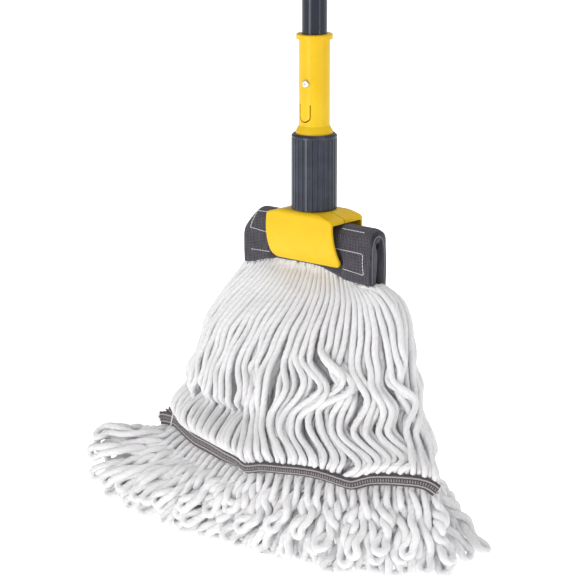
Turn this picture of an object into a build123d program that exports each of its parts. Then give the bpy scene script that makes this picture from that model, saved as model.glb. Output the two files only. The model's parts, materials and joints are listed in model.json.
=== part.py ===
"""String mop: a looped-end yarn head held in a screw-collar jaw clamp on a telescopic pole.

Frame: millimetres, +Z up, origin on the floor under the pole axis. X runs along the
headband, and the front jaw faces -Y. Rest pose: jaw shut, collar down, pole pushed in.
"""

from build123d import *
import os

os.makedirs("parts", exist_ok=True)

GAP = 0.3  # clearance between pieces that move past each other
RUNNING = 0.05  # radial clearance of a running fit
PRESSED = 0.02  # radial clearance of parts that are pressed or glued together
SEAT_GAP = 0.2  # between end faces that meet

# --- heights above the floor ---
LIP_Z = 285.0  # bottom edge of both jaws
CEILING_Z = 329.5  # top of the hollow inside the jaws
SADDLE_Z = 338.6  # flat top of the jaws beside the neck
COLLAR_Z = (338.9, 415.0)
BARREL_Z = 354.0  # where the neck widens into the threaded barrel
SOCKET_Z = (423.0, 514.0)

# --- jaws, seen from the front (X, Z) and from the end (Y, Z) ---
JAW_WALL = 3.0
JAW_HALF_TOP, JAW_HALF_LIP = 42.0, 45.3
SADDLE_HALF = 24.0
SHOULDER_END_Z = 333.6
JAW_FRONT = 25.0  # outermost face, measured from the pole axis
JAW_CHEST_Z = 326.0  # where the straight face starts to curve in
JAW_BELLY = (22.6, 307.0)  # middle of the curved face: distance from the axis, height
JAW_LIP = 10.8
JAW_LIP_CORNER_R, JAW_SHOULDER_R, JAW_CROWN_R = 8.0, 4.0, 5.0
SEAM_FRONT, SEAM_REAR = 3.7, 2.6  # the two sides of the seam, both in front of the axis
JAW_EDGE_R = 1.2  # softened rim of the outer face
GRIP_RIB_R = 1.1  # half-round ribs inside the jaws that bite the headband
GRIP_RIB_PLACES = (0.62, 0.74, 0.86)  # along the curved inner face

# --- hinge of the front jaw ---
PIN_Y, PIN_Z = 7.0, 334.0
PIN_R, PIN_HALF = 1.5, 22.0
KNUCKLE_X = (13.5, 19.0)
KNUCKLE_R, KNUCKLE_TAIL_Y = 3.6, -8.0  # round about the pin, and how far it reaches forward
KNUCKLE_SLOT_WIDE, KNUCKLE_SLOT_Y = 6.2, (-5.0, 11.0)

# --- stem, collar, socket ---
NECK_R, NECK_CLEAR_R = 12.0, 14.4
BARREL_R = 18.5
BARREL_TOP_Z = 417.5
SOCKET_R = 15.5
FLANGE_R, FLANGE_THICK = 18.2, 5.0
STEM_BORE_R, STEM_BORE_Z = 9.5, 362.0  # hollow of the barrel, and its floor
TONGUE_HALF, TONGUE_SLIT = 6.4, 1.2
TONGUE_Z, TONGUE_DROP = (432.0, 445.0), 4.5  # its slits, and its round free end below them
TONGUE_DEPTH = 8.0  # the bore runs this far below the slits
COLLAR_R, COLLAR_BORE_R = 22.75, 18.8
COLLAR_RIBS, FLUTE_R = 28, 1.4
RING_R, RING_THICK = (14.6, 20.2), 1.8

# --- pole ---
LOWER_R, UPPER_R, TUBE_WALL = 12.5, 11.0, 0.8
LOWER_Z = (450.0, 950.0)
UPPER_Z = (510.0, 1110.0)
PLUG_LENGTH = 30.0
SCREW_Z, SCREW_TURN = 466.0, 8.0  # height, and degrees round from straight ahead
SCREW_R, SCREW_HEAD_R, SCREW_HEAD_THICK = 2.0, 3.6, 2.0
SCREW_TIP = 3.0  # its end, measured from the pole axis
CROSS_SLOT, CROSS_SLOT_DEEP = (3.6, 0.8), 1.1
LOCK_Z = (925.0, 974.0)
LOCK_TAPER_Z = (946.0, 950.0, 969.0)  # end of the skirt, root of the fingers, their tips
COLLET_R = (14.6, 13.9, 12.9)  # radius at each of those heights
COLLET_SLIT, COLLET_SLIT_Z = 1.2, 954.0
SLEEVE_R, SLEEVE_BORE_R = 17.5, (14.9, 14.3, 13.3)
SLEEVE_GROOVES, SLEEVE_GROOVE_R = 16, 1.7
GRIP_Z, GRIP_R = (985.0, 1100.0), 13.6
GRIP_GROOVES, GRIP_PITCH, GRIP_GROOVE_R = 12, 8.0, 1.3
CAP_R, CAP_TAB_THICK = 13.2, 10.0
CAP_DOME_Z, CAP_CROWN_R = (1116.0, 1121.0), 9.7
CAP_HOLE_Z, CAP_HOLE_R, CAP_EYE_R = 1138.0, 5.0, 11.5

# --- headband and yarn ---
BAND_HALF, BAND_PINCH_HALF = 82.0, 47.5
BAND_Z = (275.0, 332.0)
BAND_THICK, BAND_LEG = 26.0, 8.5
BAND_PINCH, BAND_SHOULDER = 6.4, 17.0  # half thickness between the lips, and above them
BAND_SHOULDER_Z = (292.0, 309.0, 321.0)  # where it widens from one to the other, and its top
BAND_CROWN = 10.0  # half thickness of the top of the fold
BAND_SLIT = 1.6  # between the two legs where the jaws squeeze them
BINDING_THICK = 1.0  # edge binding sewn round each cut end of the headband
BAND_EYE_Z, BAND_EYE_R = 317.0, 4.2  # round opening along the inside of the fold
# each row is a level of one curtain of yarn:
# height, half width, depth in front of the axis, thickness in front, thickness at the ends
YARN_LEVELS = (
    (0.0, 236.0, 105.0, 15.0, 26.0),
    (88.0, 203.0, 88.0, 13.0, 22.0),
    (100.0, 197.0, 84.0, 13.0, 22.0),
    (145.0, 158.0, 66.0, 12.0, 20.0),
    (205.0, 127.0, 45.0, 11.0, 17.0),
    (BAND_Z[0], 81.0, 12.6, 8.0, 9.0),
)
BAND_LEVELS = YARN_LEVELS[1:3]  # the stretch that the tail band covers
TAIL_GAP, TAIL_THICK = 0.3, 1.3
CURTAIN_GAP = 1.0  # half the gap between the front and rear curtains


def is_close(value, target):
    """Whether two lengths are the same, within a hundredth of a millimetre."""
    return abs(value - target) < 0.01


def save(piece, name):
    """Label a finished piece and write its STEP file."""
    piece.part.label = name
    export_step(piece.part, f"parts/{name}.step")


def jaw_outline():
    """Front view of a jaw: sloping shoulders, sides that widen to the lip, round corners."""
    with BuildSketch(Plane.XZ.offset(-JAW_FRONT - 1)) as outline:
        with BuildLine():
            Polyline(
                (-JAW_HALF_LIP, LIP_Z),
                (-JAW_HALF_TOP, SHOULDER_END_Z),
                (-SADDLE_HALF, SADDLE_Z),
                (SADDLE_HALF, SADDLE_Z),
                (JAW_HALF_TOP, SHOULDER_END_Z),
                (JAW_HALF_LIP, LIP_Z),
                close=True,
            )
        make_face()
        fillet(outline.vertices().group_by(Axis.Y)[0], JAW_LIP_CORNER_R)
        shoulders = outline.vertices().filter_by(lambda corner: is_close(abs(corner.X), JAW_HALF_TOP))
        fillet(shoulders, JAW_SHOULDER_R)
    return outline.sketch


def jaw_face(inset):
    """Curved face of a jaw at -Y, set in by a wall, from the chest down to the lip."""
    return ThreePointArc(
        (-(JAW_FRONT - inset), JAW_CHEST_Z),
        (-(JAW_BELLY[0] - inset), JAW_BELLY[1]),
        (-(JAW_LIP - inset), LIP_Z),
        mode=Mode.PRIVATE,
    )


def jaw_profile(half_length, inset, top, seam, floor):
    """End view of a jaw, from its seam to its face set in by a wall, drawn at its left end."""
    with BuildSketch(Plane.YZ.offset(-half_length)) as profile:
        with BuildLine():
            add(jaw_face(inset))
            Polyline(
                (-(JAW_FRONT - inset), JAW_CHEST_Z),
                (-(JAW_FRONT - inset), top),
                (-seam, top),
                (-seam, floor),
                (-(JAW_LIP - inset), floor),
            )
            if floor < LIP_Z:
                Line((-(JAW_LIP - inset), floor), (-(JAW_LIP - inset), LIP_Z))
        make_face()
        crown = profile.vertices().group_by(Axis.Y)[-1].sort_by(Axis.X)[0]
        fillet(crown, JAW_CROWN_R - inset)
    return profile.sketch


def jaw_rim(block, seam):
    """Edges round the outer face of a jaw block: neither along its seam nor between smooth faces."""

    def on_rim(edge):
        size, middle = edge.bounding_box().size, edge.center()
        along_x = is_close(size.Y, 0) and is_close(size.Z, 0)
        along_y = is_close(size.X, 0) and is_close(size.Z, 0)
        smooth = along_y or (along_x and middle.Z > LIP_Z + JAW_EDGE_R)
        return middle.Y < -seam - JAW_WALL and not smooth

    return block.edges().filter_by(on_rim)


def jaw_shell(seam):
    """One jaw, open at its ends and below, with three half-round ribs inside."""
    whole, hollow = JAW_HALF_LIP + 5, JAW_HALF_LIP + 6
    rib_half = JAW_HALF_TOP - 4
    with BuildPart() as shell:
        extrude(jaw_profile(whole, 0.0, SADDLE_Z, seam, LIP_Z), amount=2 * whole)
        extrude(jaw_outline(), amount=2 * JAW_FRONT + 2, mode=Mode.INTERSECT)
        fillet(jaw_rim(shell, seam), JAW_EDGE_R)
        inside = jaw_profile(hollow, JAW_WALL, CEILING_Z, seam - 1, LIP_Z - 5)
        extrude(inside, amount=2 * hollow, mode=Mode.SUBTRACT)
        for place in GRIP_RIB_PLACES:
            point = jaw_face(JAW_WALL) @ place
            with BuildSketch(Plane.YZ.offset(-rib_half)):
                with Locations((point.X, point.Y)):
                    Circle(GRIP_RIB_R)
            extrude(amount=2 * rib_half)
    return shell.part


def half_crescent(level, outward=0.0, side_in=0.0, front_in=0.0):
    """Plan of one curtain of yarn at a level: a shallow arc of cloth, its feet at the back."""
    height, half, depth, front, side = level
    back = -CURTAIN_GAP
    outer_half, outer_depth = half + outward, depth + outward
    inner_half, inner_depth = half - side + side_in, depth - front + front_in
    with BuildSketch(Plane.XY.offset(height)) as plan:
        with BuildLine():
            ThreePointArc((-outer_half, back), (0, -outer_depth), (outer_half, back))
            Line((outer_half, back), (inner_half, back))
            ThreePointArc((inner_half, back), (0, -inner_depth), (-inner_half, back))
            Line((-inner_half, back), (-outer_half, back))
        make_face()
    return plan.sketch


def fold_outline(place):
    """End view of the folded headband outside the jaws: straight legs and a round fold on top."""
    low, high = BAND_Z
    with BuildSketch(Plane.YZ.offset(place)) as fold:
        with Locations((0, (low + high) / 2)):
            Rectangle(BAND_THICK, high - low)
        fillet(fold.vertices().group_by(Axis.Y)[-1], BAND_THICK / 2 - 1.0)
    return fold.sketch


def fold_opening(place):
    """End view of what is open between the two legs: a wide gap with a round eye above it."""
    with BuildSketch(Plane.YZ.offset(place)) as opening:
        with Locations((0, (BAND_Z[0] + BAND_EYE_Z) / 2 - 1)):
            Rectangle(BAND_THICK - 2 * BAND_LEG, BAND_EYE_Z - BAND_Z[0] + 2)
        with Locations((0, BAND_EYE_Z)):
            Circle(BAND_EYE_R)
    return opening.sketch


def revolved(points):
    """Solid of revolution about the pole axis from (radius, height) corners."""
    with BuildPart() as turned:
        with BuildSketch(Plane.XZ):
            with BuildLine():
                Polyline(*points, close=True)
            make_face()
        revolve(axis=Axis.Z)
    return turned.part


def tube(outer, wall, heights):
    """Round tube on the pole axis between two heights."""
    inner, (low, high) = outer - wall, heights
    return revolved([(inner, low), (outer, low), (outer, high), (inner, high)])


def screw_plane():
    """Plane whose normal points out of the socket along the pole screw."""
    return Plane(
        origin=(0, 0, SCREW_Z),
        x_dir=Vector(1, 0, 0).rotate(Axis.Z, SCREW_TURN),
        z_dir=Vector(0, -1, 0).rotate(Axis.Z, SCREW_TURN),
    )


def screw_hole(radius):
    """Bore of the pole screw, from the pole axis out through the front wall."""
    with BuildPart() as bore:
        with BuildSketch(screw_plane()):
            Circle(radius)
        extrude(amount=2 * SOCKET_R)
    return bore.part


# ---------------------------------------------------------------- clamp

with BuildPart() as clamp_body:
    add(jaw_shell(-SEAM_REAR).mirror(Plane.XZ))
    add(
        revolved(
            [
                (0, CEILING_Z),
                (NECK_R, CEILING_Z),
                (NECK_R, BARREL_Z),
                (BARREL_R, BARREL_Z),
                (BARREL_R, BARREL_TOP_Z),
                (SOCKET_R, SOCKET_Z[0]),
                (SOCKET_R, SOCKET_Z[1] - FLANGE_THICK),
                (FLANGE_R, SOCKET_Z[1] - FLANGE_THICK),
                (FLANGE_R, SOCKET_Z[1]),
                (0, SOCKET_Z[1]),
            ]
        )
    )
    fillet(clamp_body.edges().filter_by(GeomType.CIRCLE).group_by(Axis.Z)[-1], 1.2)
    with BuildSketch(Plane.XY.offset(SOCKET_Z[1])):
        Circle(LOWER_R + RUNNING)
    extrude(amount=TONGUE_Z[0] - TONGUE_DEPTH - SOCKET_Z[1], mode=Mode.SUBTRACT)
    with BuildSketch(Plane.XY.offset(STEM_BORE_Z)):
        Circle(STEM_BORE_R)
    extrude(amount=LOWER_Z[0] - STEM_BORE_Z, mode=Mode.SUBTRACT)
    # slots for the front jaw's knuckles, and the pin's hole through the ears and neck
    with BuildSketch(Plane.XY.offset(CEILING_Z - 1)):
        for side in (-1, 1):
            with Locations((side * sum(KNUCKLE_X) / 2, sum(KNUCKLE_SLOT_Y) / 2)):
                Rectangle(KNUCKLE_SLOT_WIDE, KNUCKLE_SLOT_Y[1] - KNUCKLE_SLOT_Y[0])
    extrude(amount=SADDLE_Z - CEILING_Z + 2, mode=Mode.SUBTRACT)
    with BuildSketch(Plane.YZ.offset(-SADDLE_HALF - 1)):
        with Locations((PIN_Y, PIN_Z)):
            Circle(PIN_R + 0.01)
    extrude(amount=2 * SADDLE_HALF + 2, mode=Mode.SUBTRACT)
    # snap tongue: two slits joined by a half-round one round its free end
    with BuildSketch(Plane.XZ):
        with BuildLine():
            Line((-TONGUE_HALF, TONGUE_Z[1]), (-TONGUE_HALF, TONGUE_Z[0]))
            ThreePointArc(
                (-TONGUE_HALF, TONGUE_Z[0]),
                (0, TONGUE_Z[0] - TONGUE_DROP),
                (TONGUE_HALF, TONGUE_Z[0]),
            )
            Line((TONGUE_HALF, TONGUE_Z[0]), (TONGUE_HALF, TONGUE_Z[1]))
        trace(line_width=TONGUE_SLIT)
    extrude(amount=2 * SOCKET_R, mode=Mode.SUBTRACT)
    add(screw_hole(SCREW_R + 0.05), mode=Mode.SUBTRACT)
save(clamp_body, "clamp_body")

with BuildPart() as jaw_hinge_pin:
    with BuildSketch(Plane.YZ.offset(-PIN_HALF)):
        with Locations((PIN_Y, PIN_Z)):
            Circle(PIN_R)
    extrude(amount=2 * PIN_HALF)
    chamfer(jaw_hinge_pin.edges(), 0.3)
save(jaw_hinge_pin, "jaw_hinge_pin")

with BuildPart() as front_jaw:
    add(jaw_shell(SEAM_FRONT))
    with BuildSketch(Plane.XY.offset(CEILING_Z - 1)):
        Circle(NECK_CLEAR_R)
    extrude(amount=SADDLE_Z - CEILING_Z + 2, mode=Mode.SUBTRACT)
    for left in (-KNUCKLE_X[1], KNUCKLE_X[0]):
        with BuildSketch(Plane.YZ.offset(left)):
            with Locations((PIN_Y, PIN_Z)):
                Circle(KNUCKLE_R)
            with Locations(((PIN_Y + KNUCKLE_TAIL_Y) / 2, PIN_Z)):
                Rectangle(PIN_Y - KNUCKLE_TAIL_Y, 2 * KNUCKLE_R)
            with Locations((PIN_Y, PIN_Z)):
                Circle(PIN_R + RUNNING, mode=Mode.SUBTRACT)
        extrude(amount=KNUCKLE_X[1] - KNUCKLE_X[0])
save(front_jaw, "front_jaw")

with BuildPart() as thrust_ring:
    low = COLLAR_Z[0]
    add(tube(RING_R[1], RING_R[1] - RING_R[0], (low, low + RING_THICK)))
    chamfer(thrust_ring.edges(), 0.3)
save(thrust_ring, "thrust_ring")

with BuildPart() as screw_collar:
    low, high = COLLAR_Z
    recess_r, recess_top = RING_R[1] + GAP, low + RING_THICK + GAP
    add(
        revolved(
            [
                (recess_r, low),
                (COLLAR_R, low),
                (COLLAR_R, high),
                (COLLAR_BORE_R, high),
                (COLLAR_BORE_R, recess_top),
                (recess_r, recess_top),
            ]
        )
    )
    rims = screw_collar.edges().filter_by(GeomType.CIRCLE).sort_by(SortBy.RADIUS)[-2:]
    chamfer(rims.sort_by(Axis.Z)[-1], 2.0)
    chamfer(rims.sort_by(Axis.Z)[0], 0.6)
    with BuildSketch(Plane.XY.offset(low - 1)):
        with PolarLocations(COLLAR_R + 0.2, COLLAR_RIBS):
            Circle(FLUTE_R)
    extrude(amount=high - low - 3, mode=Mode.SUBTRACT)
save(screw_collar, "screw_collar")

# ---------------------------------------------------------------- pole

with BuildPart() as lower_tube:
    add(tube(LOWER_R, TUBE_WALL, LOWER_Z))
    add(screw_hole(SCREW_R + 0.05), mode=Mode.SUBTRACT)
save(lower_tube, "lower_tube")

with BuildPart() as tube_end_plug:
    with BuildSketch(Plane.XY.offset(LOWER_Z[0])):
        Circle(LOWER_R - TUBE_WALL - RUNNING)
    extrude(amount=PLUG_LENGTH)
    chamfer(tube_end_plug.edges().group_by(Axis.Z)[-1], 1.0)
    add(screw_hole(SCREW_R + 0.02), mode=Mode.SUBTRACT)
save(tube_end_plug, "tube_end_plug")

with BuildPart() as pole_screw:
    seat = SOCKET_R + 0.1
    with BuildSketch(screw_plane().offset(SCREW_TIP)):
        Circle(SCREW_R)
    extrude(amount=seat - SCREW_TIP)
    with BuildSketch(screw_plane().offset(seat)):
        Circle(SCREW_HEAD_R)
    extrude(amount=SCREW_HEAD_THICK)
    head_rim = pole_screw.edges().filter_by(GeomType.CIRCLE).sort_by(Axis.Y)[0]
    fillet(head_rim, 1.2)
    with BuildSketch(screw_plane().offset(seat + SCREW_HEAD_THICK)):
        Rectangle(*CROSS_SLOT)
        Rectangle(*reversed(CROSS_SLOT))
    extrude(amount=-CROSS_SLOT_DEEP, mode=Mode.SUBTRACT)
save(pole_screw, "pole_screw")

with BuildPart() as lock_collet:
    low, high = LOCK_Z
    skirt_top, finger_root, finger_tip = LOCK_TAPER_Z
    wide_bore, narrow_bore = LOWER_R + RUNNING, UPPER_R + RUNNING
    shoulder = LOWER_Z[1] + SEAT_GAP
    add(
        revolved(
            [
                (wide_bore, low),
                (COLLET_R[0], low),
                (COLLET_R[0], skirt_top),
                (COLLET_R[1], finger_root),
                (COLLET_R[2], finger_tip),
                (narrow_bore, finger_tip),
                (narrow_bore, shoulder),
                (wide_bore, shoulder),
            ]
        )
    )
    with BuildSketch(Plane.XY.offset(COLLET_SLIT_Z)):
        for turn in (0, 90):
            Rectangle(3 * COLLET_R[0], COLLET_SLIT, rotation=turn)
    extrude(amount=high - COLLET_SLIT_Z, mode=Mode.SUBTRACT)
save(lock_collet, "lock_collet")

with BuildPart() as lock_sleeve:
    low, high = LOCK_Z[0] + 3, LOCK_Z[1]
    skirt_top, finger_root, _ = LOCK_TAPER_Z
    add(
        revolved(
            [
                (SLEEVE_BORE_R[0], low),
                (SLEEVE_R, low),
                (SLEEVE_R, high - 6),
                (SLEEVE_R - 3, high),
                (UPPER_R + 0.5, high),
                (UPPER_R + 0.5, high - 4),
                (SLEEVE_BORE_R[2], high - 4),
                (SLEEVE_BORE_R[1], finger_root - 1),
                (SLEEVE_BORE_R[0], skirt_top),
            ]
        )
    )
    with BuildSketch(Plane.XY.offset(low + 4)):
        with PolarLocations(SLEEVE_R + 0.6, SLEEVE_GROOVES):
            Circle(SLEEVE_GROOVE_R)
    extrude(amount=high - low - 12, mode=Mode.SUBTRACT)
save(lock_sleeve, "lock_sleeve")

with BuildPart() as upper_tube:
    add(tube(UPPER_R, TUBE_WALL, UPPER_Z))
save(upper_tube, "upper_tube")

with BuildPart() as slide_bush:
    bottom, inner = UPPER_Z[0], UPPER_R - TUBE_WALL - RUNNING
    outer = LOWER_R - TUBE_WALL - 2 * RUNNING
    add(
        revolved(
            [
                (0, bottom - 8),
                (outer, bottom - 8),
                (outer, bottom - SEAT_GAP),
                (inner, bottom - SEAT_GAP),
                (inner, bottom + PLUG_LENGTH),
                (0, bottom + PLUG_LENGTH),
            ]
        )
    )
    chamfer(slide_bush.edges().group_by(Axis.Z)[0], 1.0)
save(slide_bush, "slide_bush")

with BuildPart() as hand_grip:
    low, high = GRIP_Z
    add(tube(GRIP_R, GRIP_R - UPPER_R - PRESSED, GRIP_Z))
    outer_rims = hand_grip.edges().filter_by(GeomType.CIRCLE).sort_by(SortBy.RADIUS)[-2:]
    fillet(outer_rims, 2.0)
    with BuildSketch(Plane.XZ):
        for step in range(GRIP_GROOVES):
            with Locations((GRIP_R + 0.5, low + 12 + step * GRIP_PITCH)):
                Circle(GRIP_GROOVE_R)
    revolve(axis=Axis.Z, mode=Mode.SUBTRACT)
save(hand_grip, "hand_grip")

with BuildPart() as end_cap:
    top, plug_r = UPPER_Z[1], UPPER_R - TUBE_WALL - RUNNING
    dome_low, dome_high = CAP_DOME_Z
    add(
        revolved(
            [
                (0, top - PLUG_LENGTH),
                (plug_r, top - PLUG_LENGTH),
                (plug_r, top + SEAT_GAP),
                (UPPER_R + PRESSED, top + SEAT_GAP),
                (UPPER_R + PRESSED, GRIP_Z[1] + SEAT_GAP),
                (CAP_R, GRIP_Z[1] + SEAT_GAP),
                (CAP_R, dome_low),
                (CAP_CROWN_R, dome_high),
                (0, dome_high),
            ]
        )
    )
    with BuildSketch(Plane.XZ.offset(-CAP_TAB_THICK / 2)):
        with Locations((0, CAP_HOLE_Z)):
            Circle(CAP_EYE_R)
        with Locations((0, (CAP_HOLE_Z + top + 4) / 2)):
            Rectangle(2 * CAP_EYE_R - 4, CAP_HOLE_Z - top - 4)
    extrude(amount=CAP_TAB_THICK)
    eye_rims = end_cap.edges().filter_by(GeomType.CIRCLE).group_by(Axis.Z)[-1]
    fillet(eye_rims, 1.5)
    with BuildSketch(Plane.XZ.offset(-CAP_TAB_THICK)):
        with Locations((0, CAP_HOLE_Z)):
            Circle(CAP_HOLE_R)
    extrude(amount=2 * CAP_TAB_THICK, mode=Mode.SUBTRACT)
save(end_cap, "end_cap")

# ---------------------------------------------------------------- mop head

with BuildPart() as headband:
    low = BAND_Z[0]
    # squeezed to the shape of the hollow between the jaws, full thickness outside them
    with BuildSketch(Plane.YZ.offset(-BAND_PINCH_HALF)):
        with BuildLine():
            half = Polyline(
                (0, low),
                (BAND_PINCH, low),
                (BAND_PINCH, BAND_SHOULDER_Z[0]),
                (BAND_SHOULDER, BAND_SHOULDER_Z[1]),
                (BAND_SHOULDER, BAND_SHOULDER_Z[2]),
                (BAND_CROWN, CEILING_Z - GAP),
                (0, CEILING_Z - GAP),
            )
            mirror(half, about=Plane.YZ)
        make_face()
    extrude(amount=2 * BAND_PINCH_HALF)
    for left in (-BAND_HALF, BAND_PINCH_HALF):
        extrude(fold_outline(left), amount=BAND_HALF - BAND_PINCH_HALF)
    with BuildSketch(Plane.YZ.offset(-BAND_HALF - 1)):
        with Locations((0, (low + BAND_EYE_Z) / 2 - 1)):
            Rectangle(BAND_SLIT, BAND_EYE_Z - low + 2)
        with Locations((0, BAND_EYE_Z)):
            Circle(BAND_EYE_R)
    extrude(amount=2 * BAND_HALF + 2, mode=Mode.SUBTRACT)
    for left in (-BAND_HALF - 1, BAND_PINCH_HALF + 4):
        opening_length = BAND_HALF - BAND_PINCH_HALF - 3
        extrude(fold_opening(left), amount=opening_length, mode=Mode.SUBTRACT)
save(headband, "headband")

with BuildPart() as end_binding:
    for left in (-BAND_HALF - BINDING_THICK, BAND_HALF):
        extrude(fold_outline(left), amount=BINDING_THICK)
        extrude(fold_opening(left), amount=BINDING_THICK, mode=Mode.SUBTRACT)
save(end_binding, "end_binding")

for side, turn in (("front", 0), ("rear", 180)):
    with BuildPart() as yarns:
        for level in YARN_LEVELS:
            add(half_crescent(level))
        loft(ruled=True)
        add(yarns.part.rotate(Axis.Z, turn), mode=Mode.REPLACE)
    save(yarns, f"yarns_{side}")

    with BuildPart() as tail_band:
        for level in BAND_LEVELS:
            inward = level[4] + TAIL_GAP
            add(half_crescent(level, TAIL_GAP + TAIL_THICK, inward, level[3] + TAIL_GAP))
        loft(ruled=True)
        add(tail_band.part.rotate(Axis.Z, turn), mode=Mode.REPLACE)
    save(tail_band, f"tail_band_{side}")
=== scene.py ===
"""Looks of the string mop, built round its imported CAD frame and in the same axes, +Z up.

Shapes are worked out in millimetres and scaled by MM when a mesh is made.
"""
import json
import math

import bpy
import numpy as np
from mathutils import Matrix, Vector


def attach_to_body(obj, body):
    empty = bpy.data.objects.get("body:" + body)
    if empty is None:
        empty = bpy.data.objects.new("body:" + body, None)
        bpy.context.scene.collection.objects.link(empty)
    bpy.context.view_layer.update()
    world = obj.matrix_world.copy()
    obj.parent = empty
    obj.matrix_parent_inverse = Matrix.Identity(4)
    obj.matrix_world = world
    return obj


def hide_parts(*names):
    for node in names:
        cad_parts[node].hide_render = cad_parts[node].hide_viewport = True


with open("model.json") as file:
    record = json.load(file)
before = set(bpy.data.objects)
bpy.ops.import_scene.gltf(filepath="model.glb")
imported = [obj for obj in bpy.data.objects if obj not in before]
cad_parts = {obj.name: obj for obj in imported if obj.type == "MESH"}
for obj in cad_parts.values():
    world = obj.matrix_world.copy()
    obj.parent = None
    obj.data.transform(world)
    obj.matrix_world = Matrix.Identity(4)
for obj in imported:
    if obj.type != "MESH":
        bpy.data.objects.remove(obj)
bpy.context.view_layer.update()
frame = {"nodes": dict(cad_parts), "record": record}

MM = 0.001
SEED = 11
YARN_PLIES = 4

# ------------------------------------------------------------------ camera, floor and light

CAMERA_AT = (1.607, -1.915, 0.875)
CAMERA_TILT, CAMERA_TURN = 76.1, 40.6  # degrees up from straight down, and round from +Y
CAMERA_LENS, CAMERA_SENSOR = 160.0, 36.0  # millimetres
WORLD_STRENGTH = 0.48
STRIP_AIM = (0, 0, 0.62)  # the two tall strips face this, and show as pale stripes on the pole
FLOOR_REACH, FLOOR_GLOW = 14.0, 0.85


def add_camera():
    data = bpy.data.cameras.new("camera")
    data.lens, data.sensor_width = CAMERA_LENS, CAMERA_SENSOR
    camera = bpy.data.objects.new("camera", data)
    camera.location = CAMERA_AT
    camera.rotation_euler = (math.radians(CAMERA_TILT), 0, math.radians(CAMERA_TURN))
    bpy.context.scene.collection.objects.link(camera)
    bpy.context.scene.camera = camera


def add_area_light(name, place, size, power, tall=None, aim=(0, 0, 0.25)):
    """A round light, or a strip when a height is given. Metres and watts."""
    data = bpy.data.lights.new(name, "AREA")
    data.shape, data.size, data.energy = ("RECTANGLE" if tall else "DISK"), size, power
    data.size_y = tall or size
    light = bpy.data.objects.new(name, data)
    light.location = place
    light.rotation_euler = (Vector(aim) - Vector(place)).to_track_quat("-Z", "Y").to_euler()
    light.visible_camera = False
    bpy.context.scene.collection.objects.link(light)


def add_studio():
    world = bpy.data.worlds.new("studio")
    world.use_nodes = True
    sky = world.node_tree.nodes["Background"]
    sky.inputs["Color"].default_value = (1.0, 1.0, 1.0, 1)
    sky.inputs["Strength"].default_value = WORLD_STRENGTH
    bpy.context.scene.world = world
    add_area_light("key", (-1.3, -2.2, 2.4), 1.2, 5)
    add_area_light("left_box", (-0.12, -1.5, 0.5), 0.42, 8.4, 1.2, STRIP_AIM)
    add_area_light("right_strip", (1.5, -0.06, 0.5), 0.1, 2.6, 1.2, STRIP_AIM)
    add_area_light("top", (0.1, 0.5, 2.4), 0.9, 15)
    bpy.context.scene.view_settings.view_transform = "Standard"


def add_floor():
    mesh = bpy.data.meshes.new("floor")
    corners = [(x * FLOOR_REACH, y * FLOOR_REACH, 0) for x, y in ((-1, -1), (1, -1), (1, 1), (-1, 1))]
    mesh.from_pydata(corners, [], [(0, 1, 2, 3)])
    floor = bpy.data.objects.new("floor", mesh)
    bpy.context.scene.collection.objects.link(floor)
    paint = Finish("floor_paint", (0.93, 0.93, 0.93), 0.9, Emission_Color=(1, 1, 1, 1),
                   Emission_Strength=FLOOR_GLOW)
    grain = paint.noise(paint.place(), 3.0, 3.0)
    paint.set("Base Color", paint.mix(grain, (0.91, 0.91, 0.91), (0.95, 0.95, 0.95)))
    mesh.materials.append(paint.material)


# ------------------------------------------------------------------ building materials


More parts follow.
